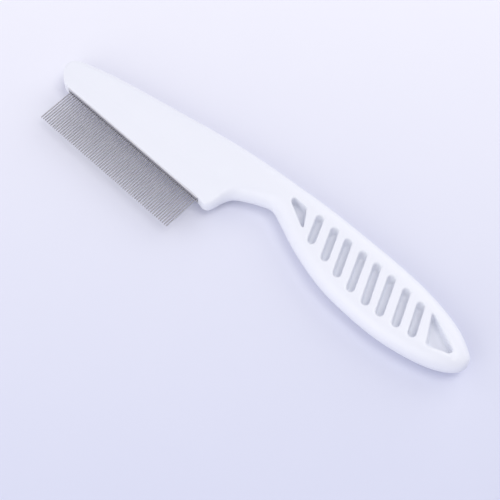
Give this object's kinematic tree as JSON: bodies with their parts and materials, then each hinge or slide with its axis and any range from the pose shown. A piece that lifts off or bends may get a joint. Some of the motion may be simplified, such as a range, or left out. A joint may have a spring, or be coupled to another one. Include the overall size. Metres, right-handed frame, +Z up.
{
  "type": "flea comb",
  "caption": "One-hand flea comb: moulded plastic handle and head in one piece, a row of fine steel pins, and a grip with blind slots and triangular recesses.",
  "frame": {"origin": "centre of the comb's bounding box, on the plane of its underside", "axes": "+X along the comb from the tip of the head to the end of the handle, +Y from the pins to the spine, +Z up through its thickness"},
  "size_m": [0.1706, 0.0414, 0.0104],
  "materials": {
    "white_plastic": "glossy white moulded plastic with a faint blue cast",
    "channel_steel": "folded stainless strip, dull",
    "resin": "cured potting resin, inside the channel",
    "pin_steel": "drawn stainless wire, bright, polished tips"
  },
  "bodies": {
    "root": {"comb_body": "white_plastic", "root_channel": "channel_steel", "root_resin": "resin", "hairpin_01": "pin_steel", "hairpin_02": "pin_steel", "hairpin_03": "pin_steel", "hairpin_04": "pin_steel", "hairpin_05": "pin_steel", "hairpin_06": "pin_steel", "hairpin_07": "pin_steel", "hairpin_08": "pin_steel", "hairpin_09": "pin_steel", "hairpin_10": "pin_steel", "hairpin_11": "pin_steel", "hairpin_12": "pin_steel", "hairpin_13": "pin_steel", "hairpin_14": "pin_steel", "hairpin_15": "pin_steel", "hairpin_16": "pin_steel", "hairpin_17": "pin_steel", "hairpin_18": "pin_steel", "hairpin_19": "pin_steel", "hairpin_20": "pin_steel", "hairpin_21": "pin_steel", "hairpin_22": "pin_steel", "hairpin_23": "pin_steel", "hairpin_24": "pin_steel", "hairpin_25": "pin_steel", "hairpin_26": "pin_steel", "hairpin_27": "pin_steel", "hairpin_28": "pin_steel", "hairpin_29": "pin_steel", "hairpin_30": "pin_steel", "hairpin_31": "pin_steel", "hairpin_32": "pin_steel", "hairpin_33": "pin_steel"}
  },
  "joints": []
}
